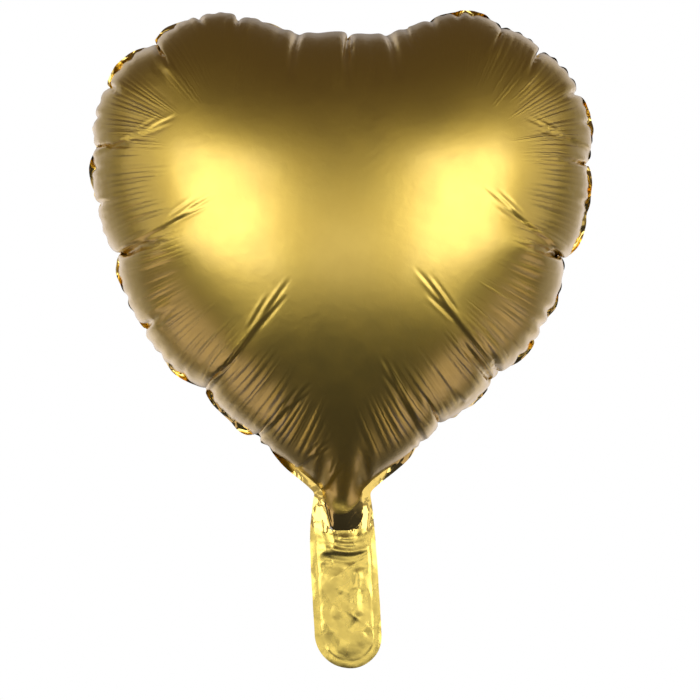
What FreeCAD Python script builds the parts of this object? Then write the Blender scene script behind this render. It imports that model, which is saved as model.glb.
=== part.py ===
import FreeCAD, Part
import os
import math

# Heart-shaped foil balloon, inflated, with its flat filling tail.
# Millimetres. +Z up, +X to the balloon's left and right, -Y the front face.
# Origin: middle of the neck's fold line, where the ribbon is tied round the neck.

# ---- driving dimensions -------------------------------------------------
FILM = 0.8              # film thickness as modelled (the real film is about 0.03)
SEAL_FILM = 0.7         # the two films fused together in the sealed band, as modelled
SEAL_WIDTH = 7.0        # width of the heat-sealed band outside the seam line
SEAL_BITE = 1.0         # how far the band reaches in under the panels' rims
DEPTH_MAX = 106.0       # half depth of the inflated heart at its middle
POLE_Z = 240.0          # height of the deepest point of the heart

TAIL_WIDTH = 51.0       # flat tail, seal edge to seal edge
TAIL_BOTTOM_Z = -96.0   # lowest point of the rounded tail end
TAIL_END_RADIUS = 25.5  # half round end
TAIL_TOP_Z = -0.9       # tail starts just under the neck's fold line
NECK_SEAL_Z = 0.9       # the sealed band ends just over the fold line
NECK_SEAL_TOP_Z = 30.0  # the straight seal strips of the neck run up to here
TAIL_FILM = 0.6         # tail film thickness as modelled
TAIL_BULGE = 1.2        # how far each tail film stands out over the channel
TAIL_CHANNEL = 37.0     # channel between the tail's two side seals
TAIL_FLAT = 16.0        # flat middle of the channel

INLET_RADIUS = 4.5      # filling hole in the rear tail film
INLET_Z = -62.0

VALVE_WIDTH_BODY = 26.0     # self-sealing valve, part inside the heart
VALVE_TOP_Z = 118.0
VALVE_BODY_BOTTOM_Z = 12.0
VALVE_WIDTH_TAIL = 22.0     # part inside the tail
VALVE_TAIL_TOP_Z = -2.5
VALVE_TAIL_BOTTOM_Z = -72.0
VALVE_FILM = 0.3            # valve film thickness as modelled
VALVE_GAP = 0.2             # between the two valve films

# sections of a panel, as fractions of the way from the pole to the seam
SECTION_G = (0.985, 0.930, 0.830, 0.690, 0.530, 0.360, 0.180, 0.070)

# Right half of the heart, from the notch at the top to the bottom of the neck:
# seam x, seam z, x and z that the inner sections close on, depth at each section
STATIONS = (
    (   0.0,  375.4,    0.0,  375.4, (21.8, 45.3, 64.6, 83.2, 95.3, 101.9, 104.9, 105.7)),
    (  12.1,  375.7,   12.1,  375.7, (20.6, 44.0, 64.3, 83.0, 95.1, 101.9, 104.9, 105.7)),
    (  28.0,  377.2,   28.0,  377.2, (20.4, 42.7, 62.9, 82.0, 94.6, 101.6, 104.9, 105.6)),
    (  49.7,  380.2,   49.7,  380.2, (19.2, 40.9, 60.4, 79.8, 93.3, 101.1, 104.7, 105.6)),
    (  75.5,  382.7,   75.5,  382.7, (18.1, 38.6, 58.0, 77.2, 91.5, 100.2, 104.6, 105.6)),
    ( 103.7,  381.1,  103.7,  381.1, (16.8, 37.6, 56.9, 75.4, 89.8, 99.3, 104.3, 105.6)),
    ( 130.3,  373.4,  130.3,  373.4, (17.5, 38.2, 56.7, 74.7, 88.8, 98.6, 104.1, 105.5)),
    ( 152.5,  358.9,  152.5,  358.9, (17.5, 38.8, 57.5, 75.0, 88.5, 98.3, 104.0, 105.5)),
    ( 169.2,  335.1,  169.2,  335.1, (18.4, 40.6, 59.6, 76.6, 89.2, 98.4, 104.0, 105.5)),
    ( 179.2,  305.5,  179.2,  305.5, (19.7, 42.0, 61.0, 78.1, 90.3, 98.9, 104.1, 105.5)),
    ( 182.2,  272.0,  182.2,  272.0, (19.9, 41.9, 62.1, 79.4, 91.4, 99.4, 104.3, 105.6)),
    ( 178.9,  238.2,  178.9,  238.2, (21.2, 43.3, 62.5, 80.4, 92.5, 100.0, 104.4, 105.6)),
    ( 169.0,  206.6,  169.0,  206.6, (18.9, 42.3, 62.8, 81.5, 93.5, 100.6, 104.5, 105.6)),
    ( 154.3,  176.8,  154.3,  176.8, (20.5, 45.2, 64.0, 82.4, 94.3, 101.0, 104.7, 105.6)),
    ( 135.6,  148.5,  135.6,  148.5, (19.2, 42.8, 65.0, 82.9, 94.7, 101.2, 104.7, 105.7)),
    ( 113.9,  122.1,  113.9,  122.1, (20.2, 44.2, 64.9, 82.9, 94.6, 101.2, 104.7, 105.7)),
    (  89.7,   97.7,   89.7,   97.7, (20.0, 44.3, 64.0, 82.2, 94.1, 101.0, 104.7, 105.7)),
    (  65.4,   77.0,   65.4,   77.0, (20.1, 43.0, 62.9, 81.0, 93.0, 100.5, 104.6, 105.6)),
    (  45.1,   61.3,   58.1,   72.2, (19.1, 41.3, 61.7, 80.5, 92.8, 100.4, 104.6, 105.6)),
    (  31.4,   49.6,   50.9,   67.6, (17.0, 38.7, 59.5, 79.7, 92.5, 100.2, 104.5, 105.6)),
    (  23.0,   40.0,   43.6,   63.3, (12.9, 33.0, 56.4, 78.8, 92.2, 100.1, 104.5, 105.6)),
    (  19.3,   31.0,   36.3,   59.4, (7.2, 24.3, 52.5, 77.7, 91.9, 99.9, 104.5, 105.6)),
    (  18.3,   22.5,   29.1,   56.1, (3.4, 14.8, 48.1, 76.6, 91.6, 99.8, 104.5, 105.6)),
    (  17.2,   15.5,   21.8,   53.4, (3.3, 9.9, 44.3, 75.7, 91.4, 99.7, 104.4, 105.6)),
    (  13.0,    9.6,   14.5,   51.3, (5.3, 11.0, 41.5, 75.0, 91.3, 99.6, 104.4, 105.6)),
    (   6.8,    6.7,    7.3,   50.1, (6.7, 12.8, 40.6, 74.7, 91.2, 99.5, 104.4, 105.6)),
    (   0.0,    6.0,    0.0,   49.7, (7.1, 13.4, 40.5, 74.7, 91.1, 99.5, 104.4, 105.6)),
)


def smooth(t):
    t = min(max(t, 0.0), 1.0)
    return t * t * (3.0 - 2.0 * t)


def section_points(j):
    """Half ring of (x, depth, z) at section j; 0 is the seam."""
    g = 1.0 if j == 0 else SECTION_G[j - 1]
    s = smooth((g - 0.55) / 0.4)
    out = []
    for sx, sz, ix, iz, depths in STATIONS:
        x = g * (sx * s + ix * (1.0 - s))
        z = POLE_Z + g * ((sz - POLE_Z) * s + (iz - POLE_Z) * (1.0 - s))
        out.append((x, 0.0 if j == 0 else depths[j - 1], z))
    return out


def full_ring(half):
    left = [(-x, d, z) for x, d, z in half[1:-1]][::-1]
    return half + left


RINGS = [full_ring(section_points(j)) for j in range(len(SECTION_G) + 1)]
POLE = (0.0, DEPTH_MAX, POLE_Z)


def sub(a, b):
    return (a[0] - b[0], a[1] - b[1], a[2] - b[2])


def cross(a, b):
    return (
        a[1] * b[2] - a[2] * b[1],
        a[2] * b[0] - a[0] * b[2],
        a[0] * b[1] - a[1] * b[0],
    )


def unit(a):
    n = math.sqrt(a[0] ** 2 + a[1] ** 2 + a[2] ** 2) or 1.0
    return (a[0] / n, a[1] / n, a[2] / n)


def inner_rings(t):
    """The rings moved inwards by the film thickness, square to the film."""
    n = len(RINGS[0])
    out = []
    for j, ring in enumerate(RINGS):
        new = []
        for i in range(n):
            p = ring[i]
            along = sub(ring[(i + 1) % n], ring[i - 1])
            if j == 0:
                nx, nz = rim_normals()[i]
                new.append((p[0] - t * nx, p[1], p[2] - t * nz))
                continue
            inside = POLE if j == len(RINGS) - 1 else RINGS[j + 1][i]
            up = sub(inside, RINGS[j - 1][i])
            nn = unit(cross(along, up))
            if nn[1] < 0:
                nn = (-nn[0], -nn[1], -nn[2])
            new.append((p[0] - t * nn[0], p[1] - t * nn[1], p[2] - t * nn[2]))
        out.append(new)
    return out


def place(p, side, lift):
    """side -1 is the front; lift moves the rim off the seam plane."""
    return FreeCAD.Vector(p[0], side * (p[1] + lift), p[2])


def ring_wire(points, side, lift):
    curve = Part.BSplineCurve()
    curve.interpolate(
        Points=[place(p, side, lift) for p in points], PeriodicFlag=True
    )
    return Part.Wire([curve.toShape()])


def dome(rings, pole, side, lift):
    wires = [ring_wire(r, side, lift) for r in rings]
    tip = Part.Vertex(place(pole, side, lift))
    return Part.makeLoft(wires + [tip], True, False)


def one_solid(shape, name):
    solids = shape.Solids
    if len(solids) != 1:
        raise RuntimeError("%s gave %d solids" % (name, len(solids)))
    out = solids[0]
    if out.Volume < 0:
        out.reverse()
    if not out.isValid():
        raise RuntimeError("%s is not valid" % name)
    return out


def panel(side, name):
    lift = SEAL_FILM / 2.0
    outer = dome(RINGS, POLE, side, lift)
    inner = dome(inner_rings(FILM), (POLE[0], POLE[1] - FILM, POLE[2]), side, lift)
    return one_solid(outer.cut(inner), name)


def plate(points, y0, y1):
    """A flat plate over a closed smooth outline of (x, z) points."""
    curve = Part.BSplineCurve()
    curve.interpolate(
        Points=[FreeCAD.Vector(x, y0, z) for x, z in points], PeriodicFlag=True
    )
    face = Part.Face(Part.Wire([curve.toShape()]))
    return face.extrude(FreeCAD.Vector(0, y1 - y0, 0))


def rim_normals():
    """Outward unit normals of the seam line in its own plane."""
    ring = RINGS[0]
    n = len(ring)
    out = []
    for i in range(n):
        a = sub(ring[(i + 1) % n], ring[i - 1])
        m = math.hypot(a[0], a[2])
        out.append((-a[2] / m, a[0] / m))
    side = ring[n // 4]
    nx, nz = out[n // 4]
    if nx * side[0] + nz * (side[2] - POLE_Z) < 0:
        out = [(-x, -z) for x, z in out]
    return out


def moved_outline(distance):
    return [
        (p[0] + distance * n[0], p[2] + distance * n[1])
        for p, n in zip(RINGS[0], rim_normals())
    ]


def box(x0, x1, y0, y1, z0, z1):
    return Part.makeBox(x1 - x0, y1 - y0, z1 - z0, FreeCAD.Vector(x0, y0, z0))


def sealed_band():
    h = SEAL_FILM / 2.0
    outer_pts = [
        (x, max(z, NECK_SEAL_Z - 4.0)) for x, z in moved_outline(SEAL_WIDTH)
    ]
    body = plate(outer_pts, -h, h)
    w = TAIL_WIDTH / 2.0
    neck = box(-w, w, -h, h, NECK_SEAL_Z, NECK_SEAL_TOP_Z)
    below = box(-200, 200, -5, 5, -60, NECK_SEAL_Z)
    hole = plate(moved_outline(-SEAL_BITE), -h - 1, h + 1)
    return one_solid(body.fuse(neck).cut(below).cut(hole).removeSplitter(), "seam_band")


def tail_outline(y0, y1):
    """The tail's rounded outline as a prism."""
    r = TAIL_END_RADIUS
    w = TAIL_WIDTH / 2.0
    zc = TAIL_BOTTOM_Z + r
    a = FreeCAD.Vector(-w, y0, TAIL_TOP_Z)
    b = FreeCAD.Vector(w, y0, TAIL_TOP_Z)
    c = FreeCAD.Vector(r, y0, zc)
    d = FreeCAD.Vector(-r, y0, zc)
    low = FreeCAD.Vector(0, y0, TAIL_BOTTOM_Z)
    wire = Part.Wire(
        [
            Part.LineSegment(a, b).toShape(),
            Part.LineSegment(b, c).toShape(),
            Part.Arc(c, low, d).toShape(),
            Part.LineSegment(d, a).toShape(),
        ]
    )
    return Part.Face(wire).extrude(FreeCAD.Vector(0, y1 - y0, 0))


def tail_film(side, name, inlet):
    """One film of the tail: flat side seals, a shallow channel between them."""
    w = TAIL_WIDTH / 2.0
    c = TAIL_CHANNEL / 2.0
    f = TAIL_FLAT / 2.0
    gap = 0.05
    mid = (c + f) / 2.0
    face_y = [
        (-w, 0.0),
        (-c, 0.0),
        (-mid, TAIL_BULGE / 2.0),
        (-f, TAIL_BULGE),
        (f, TAIL_BULGE),
        (mid, TAIL_BULGE / 2.0),
        (c, 0.0),
        (w, 0.0),
    ]
    inner = [FreeCAD.Vector(x, side * (gap + y), 5) for x, y in face_y]
    outer = [FreeCAD.Vector(x, side * (gap + y + TAIL_FILM), 5) for x, y in face_y]
    edges = []
    for pts in (inner, outer):
        p = pts
        edges.append(Part.LineSegment(p[0], p[1]).toShape())
        for a, m, b, ta, tb in ((1, 2, 3, 1, 1), (4, 5, 6, 1, 1)):
            s = Part.BSplineCurve()
            s.interpolate(
                Points=[p[a], p[m], p[b]],
                InitialTangent=FreeCAD.Vector(1, 0, 0),
                FinalTangent=FreeCAD.Vector(1, 0, 0),
            )
            edges.append(s.toShape())
        edges.append(Part.LineSegment(p[3], p[4]).toShape())
        edges.append(Part.LineSegment(p[6], p[7]).toShape())
    edges.append(Part.LineSegment(inner[0], outer[0]).toShape())
    edges.append(Part.LineSegment(inner[-1], outer[-1]).toShape())
    wire = Part.Wire(Part.__sortEdges__(edges))
    prism = Part.Face(wire).extrude(FreeCAD.Vector(0, 0, TAIL_BOTTOM_Z - 10))
    film = prism.common(tail_outline(-10, 10))
    if inlet:
        drill = Part.makeCylinder(
            INLET_RADIUS, 8, FreeCAD.Vector(0, 0, INLET_Z), FreeCAD.Vector(0, side, 0)
        )
        film = film.cut(drill)
    return one_solid(film, name)


def strip(width, y0, y1, z0, z1, name):
    return one_solid(box(-width / 2.0, width / 2.0, y0, y1, z0, z1), name)


g = VALVE_GAP / 2.0
nodes = {
    "front_panel": panel(-1, "front_panel"),
    "rear_panel": panel(1, "rear_panel"),
    "seam_band": sealed_band(),
    "valve_front_film": strip(
        VALVE_WIDTH_BODY, -g - VALVE_FILM, -g, VALVE_BODY_BOTTOM_Z, VALVE_TOP_Z, "vf"
    ),
    "valve_rear_film": strip(
        VALVE_WIDTH_BODY, g, g + VALVE_FILM, VALVE_BODY_BOTTOM_Z, VALVE_TOP_Z, "vr"
    ),
    "tail_front_film": tail_film(-1, "tail_front_film", False),
    "tail_rear_film": tail_film(1, "tail_rear_film", True),
    "inlet_front_film": strip(
        VALVE_WIDTH_TAIL, -g - VALVE_FILM, -g, VALVE_TAIL_BOTTOM_Z, VALVE_TAIL_TOP_Z, "if"
    ),
    "inlet_rear_film": strip(
        VALVE_WIDTH_TAIL, g, g + VALVE_FILM, INLET_Z + INLET_RADIUS + 2, VALVE_TAIL_TOP_Z, "ir"
    ),
}

os.makedirs("parts", exist_ok=True)
for name, shape in nodes.items():
    shape.exportStep("parts/%s.step" % name)
    b = shape.BoundBox
    print(
        "%-18s %8.1f mm3  x %.1f..%.1f  y %.1f..%.1f  z %.1f..%.1f"
        % (name, shape.Volume, b.XMin, b.XMax, b.YMin, b.YMax, b.ZMin, b.ZMax)
    )
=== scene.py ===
"""A foil heart balloon: the film is inflated from its flat pattern, then dressed and lit."""

import math

import bpy
import numpy as np
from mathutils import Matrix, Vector
from mathutils.bvhtree import BVHTree
from mathutils.geometry import delaunay_2d_cdt
from mathutils.kdtree import KDTree


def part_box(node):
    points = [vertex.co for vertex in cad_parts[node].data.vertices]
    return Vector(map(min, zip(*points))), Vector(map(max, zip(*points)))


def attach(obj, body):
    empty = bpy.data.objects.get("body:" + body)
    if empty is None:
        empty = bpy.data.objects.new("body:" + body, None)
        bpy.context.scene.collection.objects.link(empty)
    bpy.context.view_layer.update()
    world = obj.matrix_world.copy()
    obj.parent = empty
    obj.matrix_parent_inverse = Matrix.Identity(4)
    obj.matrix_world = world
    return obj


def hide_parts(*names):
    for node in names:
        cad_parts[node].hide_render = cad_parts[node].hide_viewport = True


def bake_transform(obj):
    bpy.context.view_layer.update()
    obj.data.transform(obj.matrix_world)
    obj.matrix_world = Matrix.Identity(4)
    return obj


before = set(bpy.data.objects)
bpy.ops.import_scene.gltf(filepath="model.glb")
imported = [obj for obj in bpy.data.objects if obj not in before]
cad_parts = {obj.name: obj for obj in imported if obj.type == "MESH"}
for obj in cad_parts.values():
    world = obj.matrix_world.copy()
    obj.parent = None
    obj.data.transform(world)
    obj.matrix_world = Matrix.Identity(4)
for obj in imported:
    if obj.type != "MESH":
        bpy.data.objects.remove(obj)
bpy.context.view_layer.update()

STEPS = [(2.6, 4e-9, 1800, [0.02, 0.1, 0.3, 1, 1, 1, 1, 1, 1])]
RIPPLE_PITCH = 5.6      # mm between the fine ripples
RIPPLE = 0.42           # mm high
FOLD = 2.3              # mm, how far a crease's upper side stands over its lower one
FOLD_EDGE = 1.0         # mm
LINE = 0.5              # mm, the narrow lines at a crease's inner end
PRINT_EDGE = 15.0       # mm above the heart's lowest seam point
WORLD = 1.0
# height of the direction, from 0 straight down to 1 straight up, and the light from there
SKY = [
    (0.0, (0.030, 0.030, 0.042)),
    (1.0, (0.085, 0.062, 0.052)),
    (0.33, (0.040, 0.040, 0.055)),
    (0.46, (0.17, 0.155, 0.15)),
    (0.6, (0.20, 0.18, 0.16)),
    (0.8, (0.10, 0.075, 0.062)),
]
CARD = (3.2, 1.1, 1.2)
CARD_GLOW = 0.64
# name, azimuth, elevation, distance, size, power, colour
LAMPS = [
    ("key_left", -35, 2.5, 1.7, (1.0, 1.25), 9.2, (1, 0.985, 0.95)),
    ("key_right", 35.5, 3.5, 1.7, (0.95, 1.25), 9.2, (1, 0.985, 0.95)),
    ("skirt_left", -90, -44, 1.7, (1.1, 1.1), 2.15, (1, 0.84, 1.0)),
    ("skirt_right", 90, -44, 1.7, (1.1, 1.1), 2.0, (1, 0.84, 1.0)),
    ("side_left", -76, 12, 1.8, (1.0, 1.5), 2.0, (1, 0.95, 0.93)),
    ("side_right", 76, 12, 1.8, (1.0, 1.5), 2.0, (1, 0.95, 0.93)),
    ("front_fill", 0, -8, 2.4, (2.0, 1.7), 2.4, (1, 0.97, 0.90)),
    ("low_front", 1.5, -10, 2.4, (0.8, 0.75), 1.25, (1, 0.97, 0.90)),
    ("rear_left", -152, -8, 1.15, (0.5, 0.8), 0.4, (1, 0.94, 0.97)),
    ("rear_right", 152, -8, 1.15, (0.5, 0.8), 0.4, (1, 0.94, 0.97)),
]

# ---------------------------------------------------------------------------
# Inflating the film. Two flat hearts joined along the seam are blown up: the
# film can't stretch, so it crimps at the rim as the real one does.
# Lengths of the flat pattern are in millimetres, the simulation is in metres.
# ---------------------------------------------------------------------------
NECK_HALF = 18.5      # half width of the filling channel in the flat film
SEAL = 5.2            # sealed margin outside the seam
TAIL_LEN = 102.0      # tail below the cross seal
TAIL_HALF = 25.5
FLAT_ANGLE = [90, 80, 66, 50, 32, 12, -8, -28, -45, -62, -78]
FLAT_RADIUS = [223.0, 223.9, 242.8, 255.0, 254.7, 235.4, 216.0, 203.7, 196.3, 195.2, 200.9]
CROSS_SEAL_Z = -232.5


def resample(q, n):
    d = np.linalg.norm(np.diff(np.vstack([q, q[:1]]), axis=0), axis=1)
    s = np.concatenate([[0], np.cumsum(d)])
    t = np.linspace(0, s[-1], n, endpoint=False)
    qq = np.vstack([q, q[:1]])
    return np.stack([np.interp(t, s, qq[:, k]) for k in range(2)], 1)


def smooth_closed(q, sig, n):
    m = 4096
    r = resample(q, m)
    per = np.linalg.norm(np.diff(np.vstack([r, r[:1]]), axis=0), axis=1).sum()
    k = np.fft.fftfreq(m, 1.0 / m)
    g = np.exp(-0.5 * (2 * np.pi * k * sig / per) ** 2)
    out = np.stack([np.fft.ifft(np.fft.fft(r[:, i]) * g).real for i in range(2)], 1)
    return resample(out, n)


def inside(poly, pts):
    x, y = pts[:, 0], pts[:, 1]
    res = np.zeros(len(pts), bool)
    j = len(poly) - 1
    for i in range(len(poly)):
        xi, yi = poly[i]
        xj, yj = poly[j]
        c = (yi > y) != (yj > y)
        if c.any():
            res ^= c & (x < (xj - xi) * (y - yi) / ((yj - yi) if yj != yi else 1e-12) + xi)
        j = i
    return res


def natural_spline(xs, ys, x):
    """Cubic spline through the knots, flat at both ends' second derivative."""
    xs, ys = np.asarray(xs, float), np.asarray(ys, float)
    n = len(xs)
    h = np.diff(xs)
    a = np.zeros((n, n))
    b = np.zeros(n)
    a[0, 0] = a[-1, -1] = 1
    for i in range(1, n - 1):
        a[i, i - 1], a[i, i], a[i, i + 1] = h[i - 1], 2 * (h[i - 1] + h[i]), h[i]
        b[i] = 6 * ((ys[i + 1] - ys[i]) / h[i] - (ys[i] - ys[i - 1]) / h[i - 1])
    m = np.linalg.solve(a, b)
    k = np.clip(np.searchsorted(xs, x) - 1, 0, n - 2)
    t = x - xs[k]
    return (
        ys[k]
        + t * ((ys[k + 1] - ys[k]) / h[k] - h[k] * (2 * m[k] + m[k + 1]) / 6)
        + t**2 * m[k] / 2
        + t**3 * (m[k + 1] - m[k]) / (6 * h[k])
    )


def flat_outline():
    """Seam line of the flat heart, down to the cross seal at the neck."""
    deg = np.linspace(90, -78, 400)
    r = natural_spline([-a for a in FLAT_ANGLE], FLAT_RADIUS, -deg)
    t = np.radians(deg)
    x, z = r * np.cos(t), r * np.sin(t)
    slope = (z[-1] - z[-12]) / (x[-1] - x[-12])
    neck, zb, rc = NECK_HALF, CROSS_SEAL_Z, 13.0
    pts = [(a, b) for a, b in zip(x, z) if a > neck or b > 0]
    xe, ze = pts[-1]
    zt = max(ze + slope * (neck - xe), zb + rc + 3)
    pts += [(xe + (neck - xe) * q, ze + (zt - ze) * q) for q in np.linspace(0, 1, 30)[1:]]
    pts += [(neck, zt + (zb + rc - zt) * q) for q in np.linspace(0, 1, 12)[1:]]
    pts += [
        (neck - rc + rc * math.cos(a), zb + rc - rc * math.sin(a))
        for a in np.radians(np.linspace(0, 90, 12))[1:]
    ]
    pts += [((neck - rc) * (1 - q), zb) for q in np.linspace(0, 1, 8)[1:]]
    right = np.array(pts)
    left = right[::-1].copy()
    left[:, 0] *= -1
    return smooth_closed(resample(np.concatenate([right, left[1:-1]]), 3000), 4.0, 3000)


def lattice(lo, hi, h, rng):
    gy = h * math.sqrt(3) / 2
    rows = []
    for r in range(int((hi[1] - lo[1]) / gy) + 2):
        xs = np.arange(lo[0] - h, hi[0] + h, h) + (0.5 * h if r % 2 else 0)
        rows.append(np.stack([xs, np.full_like(xs, lo[1] + r * gy)], 1))
    p = np.concatenate(rows)
    return p + rng.normal(0, 0.06 * h, p.shape)


def away_from(p, c, d):
    m = np.full(len(p), 1e9)
    for q in c:
        m = np.minimum(m, (p[:, 0] - q[0]) ** 2 + (p[:, 1] - q[1]) ** 2)
    return m > d * d


def turned_up(v, f):
    a, b, c = v[f[:, 0]], v[f[:, 1]], v[f[:, 2]]
    ar = (b[:, 0] - a[:, 0]) * (c[:, 1] - a[:, 1]) - (b[:, 1] - a[:, 1]) * (c[:, 0] - a[:, 0])
    f = f.copy()
    f[ar < 0] = f[ar < 0][:, ::-1]
    return f


def triangulate(pts, edges):
    out = delaunay_2d_cdt([Vector((float(a), float(b))) for a, b in pts], edges, [], 0, 1e-7)
    v = np.array([[p.x, p.y] for p in out[0]])
    if len(v) != len(pts):
        raise RuntimeError("the flat pattern lost points")
    return v, np.array([list(t) for t in out[2]])


def normals_2d(q, sign):
    t = np.roll(q, -1, 0) - np.roll(q, 1, 0)
    t /= np.linalg.norm(t, axis=1)[:, None]
    return np.stack([t[:, 1], -t[:, 0]], 1) * sign


def flat_mesh(q, h, seed=1):
    """Front heart, rear heart and the sealed margin with the tail, sharing the seam's points.
    Order: seam, front inside, rear inside, outside."""
    rng = np.random.default_rng(seed)
    per = np.linalg.norm(np.diff(np.vstack([q, q[:1]]), axis=0), axis=1).sum()
    nb = int(round(per / h))
    b = resample(q, nb)
    area = 0.5 * np.sum(b[:, 0] * np.roll(b[:, 1], -1) - np.roll(b[:, 0], -1) * b[:, 1])
    sign = 1 if area > 0 else -1
    p = lattice(b.min(0), b.max(0), h, rng)
    p = p[inside(b, p)]
    p = p[away_from(p, b, 0.72 * h)]
    v, f = triangulate(np.concatenate([b, p]), [(i, (i + 1) % nb) for i in range(nb)])
    f = turned_up(v, f[inside(b, v[f].mean(1))])
    ni = len(v) - nb
    front = f.copy()
    rear = np.where(f >= nb, f + ni, f)[:, ::-1]
    # outside: sealed margin round the heart, and the tail
    zb = b[:, 1].min()
    d = resample(q, 3000)
    nn = normals_2d(d, sign)
    o = d + nn * SEAL
    k0 = np.argmin(np.abs(o[:, 0]) + (o[:, 1] < 0) * 1e4)
    o = np.roll(o, -k0, axis=0)
    if o[5, 0] < 0:
        o = np.vstack([o[:1], o[1:][::-1]])
    half = []
    for s in o:
        if s[1] < zb + 60 and s[0] < TAIL_HALF + 0.01:
            break
        half.append(s)
    half = np.array(half)
    zc = zb - TAIL_LEN + TAIL_HALF
    tail = [(TAIL_HALF, z) for z in np.arange(half[-1, 1] - 1, zc, -1.0)]
    tail += [
        (TAIL_HALF * math.cos(a), zc - TAIL_HALF * math.sin(a))
        for a in np.radians(np.linspace(0, 90, 30))
    ]
    right = np.vstack([half, tail])
    left = right[::-1].copy()
    left[:, 0] *= -1
    o = np.vstack([right, left[1:-1]])
    per = np.linalg.norm(np.diff(np.vstack([o, o[:1]]), axis=0), axis=1).sum()
    no = int(round(per / h))
    ob = resample(o, no)
    lt = lattice(np.array([-TAIL_HALF, ob[:, 1].min()]), np.array([TAIL_HALF, zb + 30]), h, rng)
    lt = lt[inside(ob, lt)]
    lt = lt[~inside(b, lt)]
    lt = lt[lt[:, 1] <= zb + 25]
    mids = []
    nm = max(1, int(round(SEAL / h)) - 1)
    for r in range(nm):
        m = d + nn * (SEAL * (r + 1) / (nm + 1))
        m = resample(m, int(round(np.linalg.norm(np.diff(m, axis=0), axis=1).sum() / h)))
        mids.append(m[inside(ob, m)])
    mids = np.concatenate(mids)
    x = np.concatenate([lt, mids[mids[:, 1] > zb + 25]])
    x = x[away_from(x, b, 0.6 * h)]
    x = x[away_from(x, ob, 0.6 * h)]
    edges = [(i, (i + 1) % nb) for i in range(nb)] + [(nb + i, nb + (i + 1) % no) for i in range(no)]
    w, g = triangulate(np.concatenate([b, ob, x]), edges)
    cen = w[g].mean(1)
    g = turned_up(w, g[inside(ob, cen) & ~inside(b, cen)])
    outer = np.where(g >= nb, g + 2 * ni, g)
    flat = np.concatenate([b, v[nb:], v[nb:], w[nb:]])
    return dict(flat=flat, nb=nb, ni=ni, front=front, rear=rear, outer=outer, h=h, zb=zb)


def edges_of(f):
    e = np.concatenate([f[:, [0, 1]], f[:, [1, 2]], f[:, [2, 0]]])
    o = np.concatenate([f[:, 2], f[:, 0], f[:, 1]])
    s = np.sort(e, 1)
    key = s[:, 0].astype(np.int64) * 10**7 + s[:, 1]
    order = np.argsort(key, kind="stable")
    key, s, o = key[order], s[order], o[order]
    _, first, cnt = np.unique(key, return_index=True, return_counts=True)
    return s[first], first, cnt, o


def colours(st, nv):
    """Groups of stencils that share no point."""
    m = len(st)
    col = -np.ones(m, int)
    left = np.arange(m)
    pri = np.random.default_rng(0).permutation(m)
    c = 0
    while len(left):
        chosen = []
        cand = left.copy()
        used = np.zeros(nv, bool)
        while len(cand):
            best = np.full(nv, np.iinfo(np.int64).max)
            s = st[cand]
            for k in range(s.shape[1]):
                np.minimum.at(best, s[:, k], pri[cand])
            ok = np.ones(len(cand), bool)
            for k in range(s.shape[1]):
                ok &= best[s[:, k]] == pri[cand]
            sel = cand[ok]
            chosen.append(sel)
            used[st[sel].ravel()] = True
            cand = cand[~ok]
            bad = np.zeros(len(cand), bool)
            for k in range(s.shape[1]):
                bad |= used[st[cand][:, k]]
            cand = cand[~bad]
        col[np.concatenate(chosen)] = c
        c += 1
        left = left[col[left] < 0]
    return [np.where(col == k)[0] for k in range(c)]


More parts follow.
